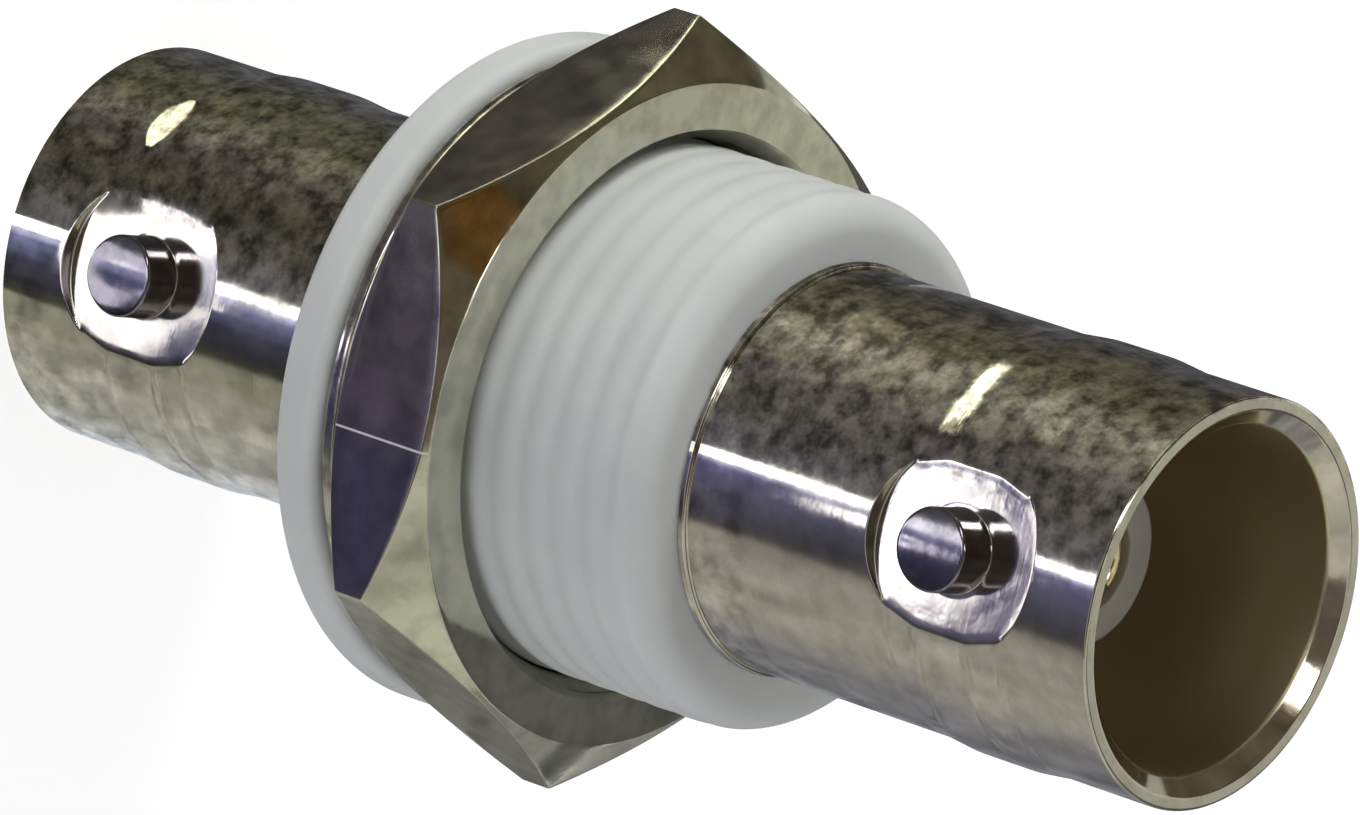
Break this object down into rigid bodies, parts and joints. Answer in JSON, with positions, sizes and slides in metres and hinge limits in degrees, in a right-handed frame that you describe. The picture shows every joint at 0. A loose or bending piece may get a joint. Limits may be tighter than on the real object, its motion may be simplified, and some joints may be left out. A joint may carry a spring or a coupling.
{
  "type": "bnc connector",
  "caption": "Insulated bulkhead adapter with a bayonet socket at each end, a threaded bush, a lock washer and a hexagon nut.",
  "frame": {"origin": "centre of the rear mouth's rim, on which the part stands", "axes": "+Z along the connector's axis towards the front mouth, the lugs along +Y and -Y, two corners of the nut near +X and -X"},
  "size_m": [0.0184, 0.0164, 0.0334],
  "materials": {
    "shell_nickel": "nickel plate, semi-bright with slight mottling",
    "bush_nylon": "moulded natural white plastic",
    "dielectric": "smooth off-white plastic",
    "contact_gold": "gold plated",
    "washer_steel": "nickel plated sheet",
    "nut_nickel": "nickel plate"
  },
  "bodies": {
    "connector": {"rear_shell": "shell_nickel", "front_shell": "shell_nickel", "insulating_bush": "bush_nylon", "rear_dielectric": "dielectric", "front_dielectric": "dielectric", "centre_contact": "contact_gold"},
    "washer": {"lock_washer": "washer_steel"},
    "nut": {"hex_nut": "nut_nickel"}
  },
  "joints": [
    {"name": "washer_slide", "type": "slide", "parent": "connector", "child": "washer", "axis": [0, 0, 1], "range_m": [0, 0.00454]},
    {"name": "nut_turn", "type": "hinge", "parent": "washer", "child": "nut", "pos_m": [0, 0, 0.015], "axis": [0, 0, 1], "range_deg": [0, 1800]}
  ],
  "couplings": [
    {"joint": "washer_slide", "follows": "nut_turn", "m_per_rad": 0.00014435}
  ]
}
